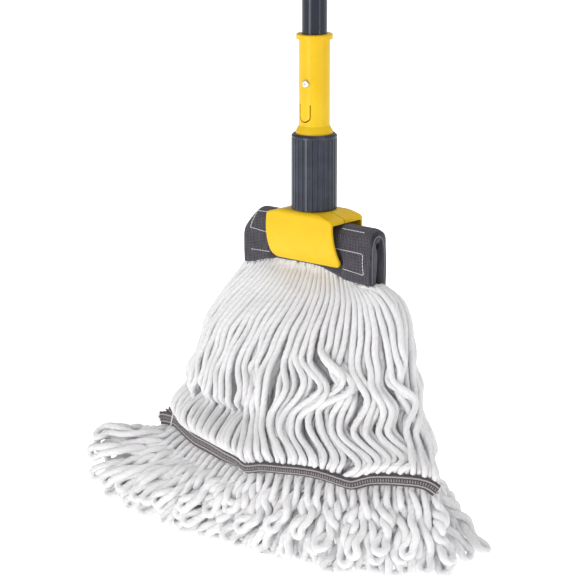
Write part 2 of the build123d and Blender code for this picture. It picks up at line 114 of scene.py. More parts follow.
class Finish:
    """A Principled material under construction, with short ways to add the nodes used here."""

    def __init__(self, name, color, roughness, **sockets):
        self.material = bpy.data.materials.new(name)
        self.material.use_nodes = True
        self.tree = self.material.node_tree
        self.shader = self.tree.nodes["Principled BSDF"]
        self.shader.inputs["Base Color"].default_value = (*color, 1)
        self.shader.inputs["Roughness"].default_value = roughness
        for socket, value in sockets.items():
            self.shader.inputs[socket.replace("_", " ")].default_value = value
        self.material.diffuse_color = (*color, 1)

    def node(self, kind, **inputs):
        made = self.tree.nodes.new(kind)
        for socket, value in inputs.items():
            self.put(made.inputs[socket.replace("_", " ")], value)
        return made

    def put(self, socket, value):
        if isinstance(value, bpy.types.NodeSocket):
            self.tree.links.new(value, socket)
        elif socket.type == "RGBA" and len(value) == 3:
            socket.default_value = (*value, 1)
        else:
            socket.default_value = value

    def set(self, socket, value):
        self.put(self.shader.inputs[socket], value)

    def place(self):
        """The point in the piece's own frame, which is the shared frame at rest, in metres."""
        return self.node("ShaderNodeTexCoord").outputs["Object"]

    def uv(self):
        """How far round a piece, and how far along it."""
        split = self.node("ShaderNodeSeparateXYZ", Vector=self.node("ShaderNodeUVMap").outputs[0])
        return split.outputs[0], split.outputs[1]

    def join(self, x, y):
        return self.node("ShaderNodeCombineXYZ", X=x, Y=y, Z=0.0).outputs[0]

    def math(self, operation, a, b=0.0):
        made = self.tree.nodes.new("ShaderNodeMath")
        made.operation = operation
        self.put(made.inputs[0], a)
        self.put(made.inputs[1], b)
        return made.outputs[0]

    def stretch(self, vector, x, y, z):
        made = self.tree.nodes.new("ShaderNodeVectorMath")
        made.operation = "MULTIPLY"
        self.put(made.inputs[0], vector)
        self.put(made.inputs[1], (x, y, z))
        return made.outputs[0]

    def noise(self, vector, scale, detail=2.0, roughness=0.5):
        made = self.node("ShaderNodeTexNoise", Vector=vector, Scale=scale, Detail=detail,
                         Roughness=roughness)
        return made.outputs["Fac"]

    def ramp(self, value, low, high, to_low=0.0, to_high=1.0):
        """value between low and high, spread smoothly from to_low to to_high."""
        made = self.tree.nodes.new("ShaderNodeMapRange")
        made.interpolation_type = "SMOOTHSTEP"
        for socket, number in zip(made.inputs, (value, low, high, to_low, to_high)):
            self.put(socket, number)
        return made.outputs[0]

    def wave(self, value, cycles):
        """A sine of a value, from 0 to 1, with so many cycles for each unit."""
        turns = self.math("MULTIPLY", value, cycles * math.tau)
        return self.math("ADD", self.math("MULTIPLY", self.math("SINE", turns), 0.5), 0.5)

    def mix(self, factor, a, b):
        """From colour a to colour b. A Mix node has its colours on inputs 6 and 7 and output 2."""
        made = self.tree.nodes.new("ShaderNodeMix")
        made.data_type = "RGBA"
        self.put(made.inputs[0], factor)
        self.put(made.inputs[6], a)
        self.put(made.inputs[7], b)
        return made.outputs[2]

    def bump(self, height, depth, over=None):
        """Relief of a depth in metres, on top of another relief if one is given."""
        made = self.node("ShaderNodeBump", Height=height, Distance=depth, Strength=1.0)
        if over is not None:
            self.put(made.inputs["Normal"], over)
        self.set("Normal", made.outputs[0])
        return made.outputs[0]


def cotton_finish():
    """Soft plied cotton: grooves between plies, fibres along them, and a little grey painted into the
    grooves as painted shade.
    """
    cotton = Finish("cotton_yarn", (0.86, 0.85, 0.835), 0.95, Sheen_Weight=0.25,
                    Sheen_Roughness=0.6, Specular_IOR_Level=0.15)
    around, along = cotton.uv()
    plies = cotton.wave(around, YARN_PLIES)
    fibres = cotton.noise(cotton.join(cotton.math("MULTIPLY", around, 30.0),
                                      cotton.math("MULTIPLY", along, 260.0)), 1.0, 3.0, 0.6)
    fluff = cotton.noise(cotton.place(), 900.0, 3.0, 0.65)
    tone = cotton.noise(cotton.place(), 45.0, 2.0)
    slub = cotton.ramp(tone, 0.3, 0.7)
    soft = cotton.mix(slub, (0.765, 0.755, 0.765), (0.82, 0.815, 0.825))
    # painted shade: the grooves between plies are painted a little grey, the crowns keep the cotton's own
    # tone
    painted_groove_shade = cotton.ramp(cotton.math("ADD", plies, cotton.math("MULTIPLY", fibres, 0.5)), 0.1, 0.8)
    cotton.set("Base Color", cotton.mix(painted_groove_shade, (0.80, 0.79, 0.80), soft))
    relief = cotton.bump(cotton.math("ADD", plies, fibres), 0.00028)
    cotton.bump(fluff, 0.0003, relief)
    return cotton.material


def yellow_finish(name):
    """Moulded polypropylene, satin, with a faint mottle, a slight ripple and fine scuffs."""
    plastic = Finish(name, (0.84, 0.53, 0.02), 0.3, Specular_IOR_Level=0.18)
    place = plastic.place()
    mottle = plastic.ramp(plastic.noise(place, 28.0, 3.0), 0.3, 0.7)
    plastic.set("Base Color", plastic.mix(mottle, (0.74, 0.465, 0.010), (0.78, 0.51, 0.014)))
    scuffs = plastic.noise(place, 1300.0, 3.0, 0.7)
    plastic.set("Roughness", plastic.ramp(scuffs, 0.4, 0.75, 0.27, 0.36))
    ripple = plastic.bump(plastic.noise(place, 60.0, 1.0), 0.00006)
    plastic.bump(plastic.noise(place, 2600.0, 2.0), 0.00001, ripple)
    return plastic.material


def moulded_finish(name, color, roughness, grain=0.00006):
    """Matt moulded plastic or rubber with a spark-eroded grain and slightly polished high spots."""
    plastic = Finish(name, color, roughness, Specular_IOR_Level=0.36)
    place = plastic.place()
    cloud = plastic.ramp(plastic.noise(place, 60.0, 3.0), 0.3, 0.7)
    darker = tuple(0.8 * channel for channel in color)
    lighter = tuple(1.25 * channel for channel in color)
    plastic.set("Base Color", plastic.mix(cloud, darker, lighter))
    pits = plastic.noise(place, 2400.0, 2.0, 0.6)
    plastic.set("Roughness", plastic.ramp(pits, 0.3, 0.7, roughness - 0.06, roughness + 0.1))
    plastic.bump(pits, grain)
    return plastic.material


def pole_finish():
    """Powder-coated steel tube: deep navy black, a clear gloss, faint orange peel and dust."""
    paint = Finish("pole_paint", (0.005, 0.0075, 0.020), 0.2, Specular_IOR_Level=0.36)
    place = paint.place()
    dust = paint.ramp(paint.noise(place, 130.0, 4.0, 0.7), 0.55, 0.8)
    paint.set("Base Color", paint.mix(dust, (0.007, 0.010, 0.024), (0.012, 0.016, 0.032)))
    rubbed = paint.noise(paint.stretch(place, 500, 500, 40), 1.0, 3.0)
    paint.set("Roughness", paint.ramp(rubbed, 0.35, 0.7, 0.15, 0.24))
    paint.bump(paint.noise(place, 700.0, 1.0), 0.000025)
    return paint.material


def steel_finish():
    """Zinc-plated steel with turning marks."""
    steel = Finish("bright_steel", (0.72, 0.72, 0.70), 0.3, Metallic=1.0)
    place = steel.place()
    lines = steel.noise(steel.stretch(place, 900, 4000, 900), 1.0, 3.0, 0.7)
    steel.set("Roughness", steel.ramp(lines, 0.3, 0.7, 0.2, 0.42))
    steel.set("Base Color", steel.mix(lines, (0.60, 0.60, 0.585), (0.78, 0.78, 0.765)))
    steel.bump(lines, 0.00002)
    return steel.material


def mesh_cloth_finish():
    """Dark spacer mesh: close upright ribs crossed by finer rows; a painted highlight makes it greyer
    where the ribs catch light, with painted shade between them and a mottle that wanders.
    """
    cloth = Finish("band_mesh", (0.10, 0.092, 0.112), 0.85, Sheen_Weight=0.15, Sheen_Roughness=0.5,
                   Specular_IOR_Level=0.3)
    across, along = cloth.uv()
    drift = cloth.noise(cloth.stretch(cloth.place(), 120, 120, 30), 1.0, 2.0)
    ribs = cloth.wave(cloth.math("ADD", across, cloth.math("MULTIPLY", drift, 0.002)), 1 / 0.0019)
    rows = cloth.wave(along, 1 / 0.0031)
    wander = cloth.noise(cloth.stretch(cloth.place(), 420, 420, 130), 1.0, 3.0, 0.6)
    knit = cloth.math("ADD", cloth.math("MULTIPLY", ribs, cloth.ramp(rows, 0.0, 0.5, 0.6, 1.0)), wander)
    # painted highlight on the ribs and painted shade between them and between the rows; the wander adds a
    # real mottle
    lit = cloth.ramp(knit, 0.35, 1.45)
    cloth.set("Base Color", cloth.mix(lit, (0.020, 0.018, 0.026), (0.092, 0.083, 0.103)))
    relief = cloth.bump(knit, 0.0004)
    cloth.bump(cloth.noise(cloth.place(), 1800.0, 3.0, 0.7), 0.00015, relief)
    return cloth.material


def tape_finish():
    """Woven tape: dark edges, two pale warp stripes, a mottled middle held by stitching, and painted shade
    between the picks of the weave.
    """
    tape = Finish("tail_tape", (0.13, 0.12, 0.122), 0.9, Sheen_Weight=0.2, Specular_IOR_Level=0.2)
    across, along = tape.uv()
    from_middle = tape.math("ABSOLUTE", tape.math("SUBTRACT", across, 0.5))
    stripe = tape.math("SUBTRACT", 1.0, tape.ramp(
        tape.math("ABSOLUTE", tape.math("SUBTRACT", from_middle, 0.27)), 0.035, 0.075))
    inner = tape.math("SUBTRACT", 1.0, tape.ramp(from_middle, 0.09, 0.15))
    picks = tape.wave(along, 1 / 0.0011)
    fuzz = tape.noise(tape.place(), 700.0, 3.0, 0.6)
    dashes = tape.ramp(tape.wave(along, 1 / 0.0026), 0.45, 0.75)
    stitched = tape.math("MULTIPLY", tape.math("MULTIPLY", inner, dashes), tape.ramp(fuzz, 0.3, 0.5))
    # painted shade: the picks are painted darker in their troughs and lighter on their crowns
    ground = tape.mix(picks, (0.062, 0.054, 0.058), (0.100, 0.088, 0.094))
    middle = tape.mix(stitched, ground, (0.30, 0.27, 0.28))
    tape.set("Base Color", tape.mix(stripe, middle, (0.42, 0.39, 0.40)))
    relief = tape.bump(tape.math("ADD", picks, tape.math("MULTIPLY", stripe, 1.2)), 0.00025)
    tape.bump(fuzz, 0.0002, relief)
    return tape.material


def thread_finish(name, color):
    """Sewing thread or cord, twisted, with painted shade in the grooves of the twist and a slight fuzz."""
    thread = Finish(name, color, 0.75, Sheen_Weight=0.3)
    around, along = thread.uv()
    twist = thread.wave(thread.math("ADD", around, thread.math("MULTIPLY", along, 700.0)), 2.0)
    fuzz = thread.noise(thread.place(), 2000.0, 2.0)
    # painted shade: the troughs of the twist are painted darker, the crowns keep the thread's colour
    darker = tuple(0.72 * channel for channel in color)
    thread.set("Base Color", thread.mix(thread.ramp(twist, 0.1, 0.6), darker, color))
    thread.bump(thread.math("ADD", twist, fuzz), 0.0001)
    return thread.material


# ------------------------------------------------------------------ building meshes


def mesh_object(name, points, faces, uvs, material):
    """A mesh from points in millimetres. uvs holds one pair for each corner of each face."""
    mesh = bpy.data.meshes.new(name)
    sizes = np.array([len(face) for face in faces])
    corners = np.concatenate(faces)
    mesh.vertices.add(len(points))
    mesh.vertices.foreach_set("co", (points * MM).astype(np.float32).ravel())
    mesh.loops.add(len(corners))
    mesh.loops.foreach_set("vertex_index", corners.astype(np.int32))
    mesh.polygons.add(len(faces))
    starts = np.concatenate([[0], np.cumsum(sizes)[:-1]])
    mesh.polygons.foreach_set("loop_start", starts.astype(np.int32))
    mesh.polygons.foreach_set("use_smooth", np.full(len(faces), True))
    layer = mesh.uv_layers.new(name="UVMap")
    layer.data.foreach_set("uv", np.asarray(uvs, np.float32).ravel())
    mesh.update(calc_edges=True)
    mesh.validate()
    mesh.materials.append(material)
    made = bpy.data.objects.new(name, mesh)
    bpy.context.scene.collection.objects.link(made)
    return made


def along_path(points):
    """Length from the start of a path to each of its points."""
    steps = np.linalg.norm(np.diff(points, axis=0), axis=1)
    return np.concatenate([[0.0], np.cumsum(steps)])


def path_at(points, at):
    """Points of a path at lengths from its start."""
    length = along_path(points)
    return np.stack([np.interp(at, length, column) for column in points.T], axis=1)


def resampled(points, count):
    """A path with evenly spaced points."""
    return path_at(points, np.linspace(0, along_path(points)[-1], count))


def smoothed(points, times):
    """A path with its corners eased, ends kept."""
    eased = np.array(points, float)
    for _ in range(times):
        eased[1:-1] = 0.25 * eased[:-2] + 0.5 * eased[1:-1] + 0.25 * eased[2:]
    return eased


def spline(points, count):
    """Catmull-Rom curve through given points, as evenly spaced ones."""
    given = np.asarray(points, float)
    padded = np.vstack([2 * given[0] - given[1], given, 2 * given[-1] - given[-2]])
    pieces = []
    for k in range(1, len(padded) - 2):
        a, b, c, d = padded[k - 1:k + 3]
        t = np.linspace(0, 1, 24, endpoint=False)[:, None]
        pieces.append(0.5 * (2 * b + (c - a) * t + (2 * a - 5 * b + 4 * c - d) * t ** 2
                             + (3 * b - a - 3 * c + d) * t ** 3))
    pieces.append(padded[-2][None])
    return resampled(np.vstack(pieces), count)


def unit(vectors):
    size = np.linalg.norm(vectors, axis=-1, keepdims=True)
    return vectors / np.maximum(size, 1e-9)


def right_of(forward):
    """Level directions a quarter turn to the right of others."""
    return np.stack([forward[:, 1], -forward[:, 0], 0 * forward[:, 0]], axis=1)


ODD_DIRECTION = np.array([0.31, 0.17, 0.93])  # no path starts along it


def bundle_of_tubes(name, paths, radii, material, sides, lobes=0, lobe_depth=0.0, pitch=0.0):
    """Closed tubes along paths (tubes, rings, 3), as one mesh. With lobes, the section is twisted
    plies that turn once in every pitch. UV is how far round, and metres along."""
    tubes, rings = paths.shape[:2]
    ahead = unit(np.gradient(paths, axis=1))
    side = np.zeros_like(paths)
    side[:, 0] = unit(np.cross(ahead[:, 0], ODD_DIRECTION))
    for k in range(1, rings):
        last = side[:, k - 1]
        side[:, k] = unit(last - np.sum(last * ahead[:, k], axis=1, keepdims=True) * ahead[:, k])
    other = np.cross(ahead, side)
    length = np.array([along_path(path) for path in paths])
    turn = math.tau * np.arange(sides) / sides
    angle = turn[None, None, :] + (math.tau * length / pitch if pitch else 0 * length)[:, :, None]
    reach = radii[:, :, None] * (1 + lobe_depth * np.cos(lobes * turn))[None, None, :]
    points = (paths[:, :, None, :]
              + (reach * np.cos(angle))[..., None] * side[:, :, None, :]
              + (reach * np.sin(angle))[..., None] * other[:, :, None, :])
    t, r, s = np.meshgrid(np.arange(tubes), np.arange(rings - 1), np.arange(sides), indexing="ij")
    base, after = t * rings * sides, (s + 1) % sides
    quads = np.stack([base + r * sides + s, base + r * sides + after,
                      base + (r + 1) * sides + after, base + (r + 1) * sides + s], axis=-1).reshape(-1, 4)
    u0, u1 = s / sides, (s + 1) / sides
    v0 = np.broadcast_to(length[:, :-1, None], u0.shape) * MM
    v1 = np.broadcast_to(length[:, 1:, None], u0.shape) * MM
    uvs = np.stack([u0, v0, u1, v0, u1, v1, u0, v1], axis=-1).reshape(-1, 2)
    faces = list(quads)
    cap_uvs = []
    for k in range(tubes):
        first, last = k * rings * sides, (k * rings + rings - 1) * sides
        faces.append(np.arange(first, first + sides)[::-1])
        faces.append(np.arange(last, last + sides))
        cap_uvs += [(0.5, 0.0)] * (2 * sides)
    return mesh_object(name, points.reshape(-1, 3), faces, np.vstack([uvs, cap_uvs]), material)


def skin(name, sections, material, uvs):
    """A closed mesh over sections (stations, points, 3), each closed on itself. uvs has one more
    column than there are points in a section."""
    stations, count = sections.shape[:2]
    faces, corners = [], []
    for i in range(stations - 1):
        for j in range(count):
            k = (j + 1) % count
            faces.append((i * count + j, i * count + k, (i + 1) * count + k, (i + 1) * count + j))
            corners += [uvs[i][j], uvs[i][j + 1], uvs[i + 1][j + 1], uvs[i + 1][j]]
    faces.append(tuple(range(count))[::-1])
    faces.append(tuple((stations - 1) * count + j for j in range(count)))
    corners += uvs[0][:count][::-1] + uvs[-1][:count]
    return mesh_object(name, sections.reshape(-1, 3), faces, corners, material)


# ------------------------------------------------------------------ the yarn

YARNS = 132  # strands in each curtain, two to every loop
TOP_Z, BAND_MID_Z = 283.0, 90.0
LEVELS = 60  # points of a strand from the headband to the tail band
LINE_STEPS = 241  # points of a line across a curtain
BELOW = ((4.0, 0.0), (7.5, 0.8), (11.0, 2.2))  # past the tape: how far down, and how far out
ROW_ORDER = (0, 2, 1, 3)  # strands lie four deep, neighbours in different rows
# height, half width to the left and to the right, depth of the curtain's arc
SILHOUETTE = np.array([
    (BAND_MID_Z, 203, 184, 87),
    (104, 182, 168, 82),
    (120, 171, 150, 77),
    (131, 164, 142, 74),
    (150, 157, 133, 68),
    (180, 145, 126, 60),
    (210, 133, 124, 51),
    (225, 123, 121, 45),
    (240, 110, 117, 37),
    (257, 94, 108, 25),
    (265, 87, 99, 18),
    (275, 80, 83, 10.5),
    (TOP_Z, 76, 77, 7.5),
], float)
# middle line of the tail band on the front curtain, from left to right
FRONT_BAND = [
    (-171, -27, 91), (-160, -31, 89), (-145, -38, 87), (-119, -50, 85),
    (-86, -63, 86), (-57, -74, 86), (-32, -82, 86.5), (-15, -89, 85), (-7, -90, 86.5), (8, -89, 90.5),
    (34, -87, 93.5), (51, -84, 95), (71, -80, 95), (90, -76, 92.5), (106, -71, 89.5), (112, -67, 91),
    (122, -60, 94.5), (137, -52, 96), (152, -43, 96), (165, -34, 94.5), (173, -27, 90), (178, -19, 81),
]
REAR_BAND = [
    (-178, -20, 92), (-190, 0, 92), (-180, 28, 90), (-146, 56, 88), (-96, 77, 91), (-44, 88, 87),
    (8, 88, 90), (56, 80, 92), (96, 63, 89), (119, 43, 90), (134, 25, 91), (141, 8, 87),
]
# past the seam at the left, the cut ends of the two tapes stick out
FRONT_END = [(-197, -19, 86), (-186, -22, 88.5)]
REAR_END = [(-184, -20, 95), (-177, -23, 93)]
# where the looped ends of each curtain lie, from left to right
FRONT_TIPS = [(-248, -62, 66), (-247, -66, 48), (-243, -70, 28), (-222, -75, 15), (-186, -86, 9),
              (-140, -93, 7), (-88, -98, 7), (-36, -103, 7), (14, -106, 7), (62, -101, 7),
              (108, -89, 7), (150, -69, 7), (182, -45, 8), (197, -16, 12)]
REAR_TIPS = [(-247, -46, 56), (-246, -10, 34), (-236, 36, 16), (-204, 68, 8), (-148, 90, 7),
             (-88, 100, 7), (-28, 104, 7), (34, 100, 7), (90, 86, 7), (138, 64, 7), (172, 38, 8),
             (195, 12, 13)]
REAR_RIGHT = 0.9  # the rear curtain is this much narrower to the right, low down
HALF_GAP = 3.0  # the side edges of each curtain stay this far from Y = 0
BAND_CLEAR = 1.5  # from the middle of the tape to the outside of the yarn behind it
FOLD_REACH, LOW_FOLD_REACH = (26, 36), (25, 17)  # of the two swings, above and below their heights
# by height: the yarn's radius, the space between rows, half the room in and under the headband
YARN_RADIUS = ((20, 60, 80, 92, 112, 150, 235, 260, 275), (4.3, 4.2, 3.3, 2.7, 3.3, 3.5, 3.4, 3.1, 2.5))
ROW_SPACE = ((95, 130, 240, 275), (3.6, 5.6, 5.2, 2.4))
HEAD_ROOM = ((250, 262, 275, TOP_Z), (200.0, 22.0, 8.0, 4.5))
# the tape holds yarn back this far from its middle line, ever less up to the second
HOLD_FULL, HOLD_NONE, HOLD_SLOPE = 6.5, 30, 1.7
PAIR_R = 3.3  # how far each of two strands lies from the middle of the pair they twist into
LOOP_SWELL = 2.2  # how much further it lies where the pair opens into the loop at its end
FRINGE_APART = 4.9  # half the space that pairs keep between their middles
WAVE_SIDE, WAVE_OUT, WAVES = 4.5, 5.0, 1.7  # how far pairs wander aside and outward, in how many waves
TIP_LOW, TIP_LEFT, TIP_RIGHT = 7.0, -245, 202  # pairs end above the first and between the other two
YARN_LEFT = -252  # no yarn's middle lies further left
YARN_LOW = 4.8  # lowest middle of a yarn, so that it lies on the floor
LOOP_STEPS, YARN_STEPS = 64, 264  # points of a fringe pair, and of a whole loop of yarn
GROUPS = 5  # pieces that each curtain is made in
PRESSED = 0.97  # how near to its full thickness a yarn keeps others away
APART_ROUNDS, SETTLE_ROUNDS = ((30, 30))
# folds pressed into the front curtain, from left to right: place along it, how far strands swing
# aside at mid height and where, how far just above the band and where, and the depth of a crease
FOLDS = np.array([
    (0.00, 4, 160, 3, 118, 3), (0.18, 8, 158, 8, 114, 13), (0.30, 10, 152, 10, 112, 20),
    (0.42, 13, 156, 9, 110, 15), (0.51, -5, 168, 3, 110, 0), (0.57, 24, 178, 9, 108, -2),
    (0.66, 32, 178, 14, 108, -2), (0.76, 30, 172, 17, 112, -1), (0.88, 22, 163, 16, 120, 0),
    (0.95, 12, 156, 11, 126, 0), (1.00, 3, 150, 4, 130, 0),
])


def bell(x):
    """A smooth hump from -1 to 1, 1 high at 0."""
    return 0.5 + 0.5 * np.cos(np.pi * np.clip(x, -1, 1))


def ease(x):
    x = np.clip(x, 0, 1)
    return x * x * (3 - 2 * x)


def ripple(rng, waves, low, high):
    """A seeded smooth function of two values, about -1 to 1, from sines of low to high cycles a unit."""
    a = rng.uniform(low, high, waves) * rng.choice([-1, 1], waves)
    b = rng.uniform(low, high, waves)
    phase = rng.uniform(0, math.tau, waves)

    def value(x, y):
        x, y = np.asarray(x, float)[..., None], np.asarray(y, float)[..., None]
        return np.sin(math.tau * (a * x + b * y) + phase).sum(-1) / math.sqrt(waves)

    return value


def plan_arc(height, side):
    """Outline of a curtain at a height, in plan, as evenly spaced points from left to right."""
    left, right, depth = (np.interp(height, SILHOUETTE[:, 0], SILHOUETTE[:, k]) for k in (1, 2, 3))
    right *= 1.0 if side < 0 else np.interp(height, (BAND_MID_Z, 240), (REAR_RIGHT, 1.0))
    turn = np.linspace(0, np.pi, LINE_STEPS)
    x = 0.5 * (right - left) - 0.5 * (left + right) * np.cos(turn)
    y = side * (HALF_GAP + (depth - HALF_GAP) * np.sin(turn) ** (0.85 if side < 0 else 1.1))
    return resampled(np.stack([x, y, np.full_like(x, height)], axis=1), LINE_STEPS)


def curtain(side, band_points, seed):
    """Strands of one curtain from the headband to the tail band.
    Returns their points (strands, levels, 3), their outward normals in plan, and their places s."""
    rng = np.random.default_rng(seed)
    s = (np.arange(YARNS) + 0.5) / YARNS
    row = np.resize(ROW_ORDER, YARNS)
    bundle = np.cumsum(np.isin(np.arange(YARNS), np.cumsum(rng.integers(4, 9, YARNS))))
    bundles = bundle[-1] + 1
    height_offset = rng.uniform(-9, 9, bundles)[bundle]
    strength = rng.uniform(0.5, 1.3, bundles)[bundle]
    sway = rng.uniform(-1, 1, bundles)[bundle]
    middle = np.array([s[bundle == b].mean() for b in range(bundles)])[bundle]
    wander_t, wander_n = ripple(rng, 6, 1.0, 5.0), ripple(rng, 6, 1.0, 5.0)
    strand_t = rng.uniform(0, 40, YARNS)
    swing, fold_z, low_swing, low_z, crease = (np.interp(s, FOLDS[:, 0], column) for column in FOLDS.T[1:])
    if side > 0:
        swing, low_swing, crease = 0.45 * swing, 0.5 * low_swing, 0.5 * crease
    band = spline(band_points, LINE_STEPS)
    places = np.linspace(0, 1, LINE_STEPS)
    points = np.zeros((YARNS, LEVELS + len(BELOW), 3))
    normals = np.zeros_like(points)
    for k, fall in enumerate(np.linspace(0, 1, LEVELS)):
        nominal = TOP_Z + (BAND_MID_Z - TOP_Z) * fall
        near_band = ease((BAND_MID_Z + 36 - nominal) / 32)
        arc = plan_arc(nominal, side)
        line = (1 - near_band) * arc + near_band * band
        line[:, 2] = (1 - fall) * TOP_Z + fall * (BAND_MID_Z * (1 - near_band) + band[:, 2] * near_band)
        forward = unit(np.gradient(line, axis=0) * (1, 1, 0))
        outward = -side * right_of(forward)
        # sideways folds: one at mid height, one just above the band
        rise = nominal - fold_z - height_offset
        fold = bell(rise / np.where(rise > 0, *FOLD_REACH))
        low_rise = nominal - low_z - 0.5 * height_offset
        low_fold = bell(low_rise / np.where(low_rise > 0, *LOW_FOLD_REACH))
        free = bell((fall - 0.55) / 0.5)
        slide = strength * swing * fold + (1.9 - 0.9 * strength) * low_swing * low_fold + 4.0 * sway * free
        slide += 2.4 * free * wander_t(s * 3, fall * 1.1 + strand_t * 0.02)
        # strands draw together in bundles, and in one deep gather at the middle
        gather = 0.34 * bell((nominal - 198) / 70) + 0.3 * bell((nominal - 142) / 26)
        place = s + (middle - s) * gather
        place += (0.5 - place) * 0.6 * bell((s - 0.5) / 0.09) * bell((nominal - 128) / 26)
        place = np.clip(place + slide / along_path(line)[-1], 0.002, 0.998)
        # in and out: a crease above the band, a swell just over it, and more where the strands fold
        bulge = -crease * strength * bell((nominal - 131 - 0.7 * height_offset) / 17)
        bulge += crease * 0.55 * bell((nominal - 107 - 0.5 * height_offset) / 13)
        bulge += 4.0 * fold * (crease < 5) + 4.5 * low_fold
        bulge += 4.0 * bell((nominal - 105) / 13)
        bulge += free * (2.4 * sway + 1.8 * wander_n(s * 3, fall + strand_t * 0.03))
        depth_in = strand_radius(nominal) + BAND_CLEAR * bell((nominal - BAND_MID_Z) / 14)
        depth_in = depth_in + row * np.interp(nominal, *ROW_SPACE)
        for axis in range(3):
            points[:, k, axis] = np.interp(place, places, line[:, axis])
            normals[:, k, axis] = np.interp(place, places, outward[:, axis])
        points[:, k] += normals[:, k] * (bulge - depth_in)[:, None]
    for k, (down, out) in enumerate(BELOW, LEVELS):
        normals[:, k] = normals[:, LEVELS - 1]
        points[:, k] = points[:, LEVELS - 1] + normals[:, k] * out - (0, 0, down)
    return points, normals, s


def strand_radius(heights):
    """Yarn is squeezed in the headband, plump half way down and nipped by the tail band."""
    return np.interp(heights, *YARN_RADIUS)


def push_apart(points, radius, held):
    """Move points (strands, levels, 3) apart level by level. Each round gives a little of it back."""
    target = points.copy()
    strands = points.shape[0]
    for _ in range(APART_ROUNDS):
        for k in range(points.shape[1]):
            here = points[:, k]
            gap = here[:, None] - here[None]
            distance = np.sqrt((gap ** 2).sum(-1)) + np.eye(strands) * 1e3
            need = radius[:, k][:, None] + radius[:, k][None]
            push = np.clip(need - distance, 0, None) / distance * 0.5
            here += (gap * push[..., None]).sum(1) * 0.8
        moved = 0.96 * (points - target)
        moved[:, 1:-1] = 0.2 * moved[:, :-2] + 0.6 * moved[:, 1:-1] + 0.2 * moved[:, 2:]
        points = target + moved
        held(points)
    return points


def behind_band(band, side, members):
    """A rule that keeps strands of one curtain behind its tail band and inside the headband."""
    forward = unit(np.gradient(band, axis=0) * (1, 1, 0))
    outward = right_of(forward)
    outward *= np.sign(outward[len(band) // 2, 1] * side)

    def hold(points):
        own = points[members]
        apart = ((own[:, :, None, :2] - band[None, None, ::4, :2]) ** 2).sum(-1)
        nearest = apart.argmin(-1) * 4
        ahead = ((own - band[nearest]) * outward[nearest]).sum(-1)
        gap = np.abs(own[..., 2] - band[nearest][..., 2])
        limit = -BAND_CLEAR - strand_radius(own[..., 2]) + np.clip(gap - HOLD_FULL, 0, None) * HOLD_SLOPE
        excess = np.clip(ahead - limit, 0, None) * (gap < HOLD_NONE)
        own = own - outward[nearest] * excess[..., None]
        # strands start lower towards the right end of the headband
        own[..., 2] -= 0.8 * np.clip(own[..., 2] - 271, 0, None) * ease((own[..., 0] - 52) / 14)
        room = np.interp(own[..., 2], *HEAD_ROOM)
        own[..., 1] = np.clip(own[..., 1], -room, room)
        points[members] = own

    return hold


def fringe_lines(exits, outward, tips_at, s, seed):
    """Middle lines of the twisted pairs below the tail band, (pairs, steps, 3)."""
    rng = np.random.default_rng(seed)
    pairs = len(exits)
    tips = spline(tips_at, 200)
    tip = np.stack([np.interp(s, np.linspace(0, 1, 200), tips[:, k]) for k in range(3)], axis=1)
    # four layers from the outside in, the two outer ones shorter and higher at the tip
    layer = np.resize(ROW_ORDER, pairs)
    tip += outward * (rng.uniform(-4, 4, pairs) - 7.0 * (layer - 0.8))[:, None]
    tip[:, 2] += np.choose(layer, (rng.uniform(6, 16, pairs), rng.uniform(2, 8, pairs), 0 * s, 0 * s))
    short, middling = rng.uniform(0.62, 0.86, pairs), rng.uniform(0.8, 0.97, pairs)
    shrink = np.choose(layer, (short, middling, 0 * s + 1, 0 * s + 1))
    shrink = np.where((s < 0.13) | (s > 0.92), 1.0, shrink)
    tip = exits + (tip - exits) * shrink[:, None] + outward * (9 * (1 - shrink))[:, None]
    tip[:, 2] = np.maximum(TIP_LOW, tip[:, 2])
    tip[:, 0] = np.clip(tip[:, 0] + rng.uniform(-5, 5, pairs), TIP_LEFT, TIP_RIGHT)
    phase_side, phase_out = rng.uniform(0, 1, (2, pairs))[:, :, None, None]
    t = np.linspace(0, 1, 24)[None, :, None]
    down = np.array([0, 0, -1.0])
    reach = np.linalg.norm(tip - exits, axis=1)[:, None, None]
    # curves that leave the tape downward and come down on their tips
    a = exits[:, None]
    b = a + reach * (0.30 * down + 0.22 * outward[:, None])
    d = tip[:, None]
    c = d - reach * (0.26 * unit((tip - exits) * (1, 1, 0.25))[:, None]) + reach * np.array([0, 0, 0.22])
    lines = (1 - t) ** 3 * a + 3 * (1 - t) ** 2 * t * b + 3 * (1 - t) * t ** 2 * c + t ** 3 * d
    along = np.cross(outward, (0, 0, 1.0))[:, None]
    grow = ease(t * 2.5)
    lines += along * grow * np.sin(math.tau * (WAVES * t + phase_side)) * WAVE_SIDE
    lines += outward[:, None] * grow * np.sin(math.tau * (WAVES * t + phase_out)) * WAVE_OUT
    return lines


CHUNK = 400  # points compared with all the others at a time, to save memory


